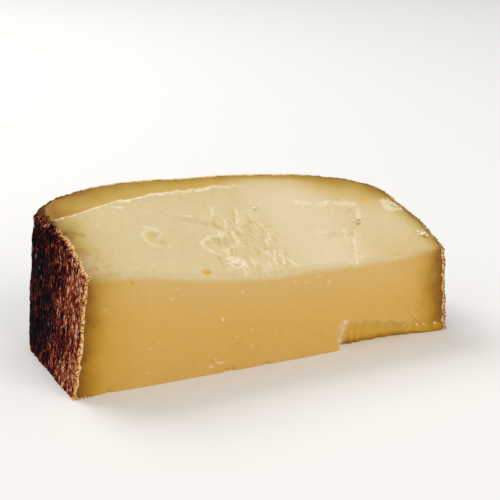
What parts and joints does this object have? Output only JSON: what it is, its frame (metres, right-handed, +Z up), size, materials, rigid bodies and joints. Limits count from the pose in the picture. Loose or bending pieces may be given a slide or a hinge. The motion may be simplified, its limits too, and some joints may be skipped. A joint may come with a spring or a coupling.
{
  "type": "cheddar cheese",
  "caption": "Block of aged cheddar cut from a rinded wheel: flat base, smooth front cut, rough sloping top, dark rind at both ends and behind.",
  "frame": {"origin": "centre of the piece's bounding box at its flat base, on the surface it rests on", "axes": "+X along the wheel's axis, from the thick end to the thin end, +Y from the smooth nose cut to the rim, +Z up"},
  "size_m": [0.1222, 0.0587, 0.0465],
  "materials": {
    "cheese": "smooth, slightly waxy"
  },
  "bodies": {
    "root": {"cheese": "cheese"}
  },
  "joints": []
}
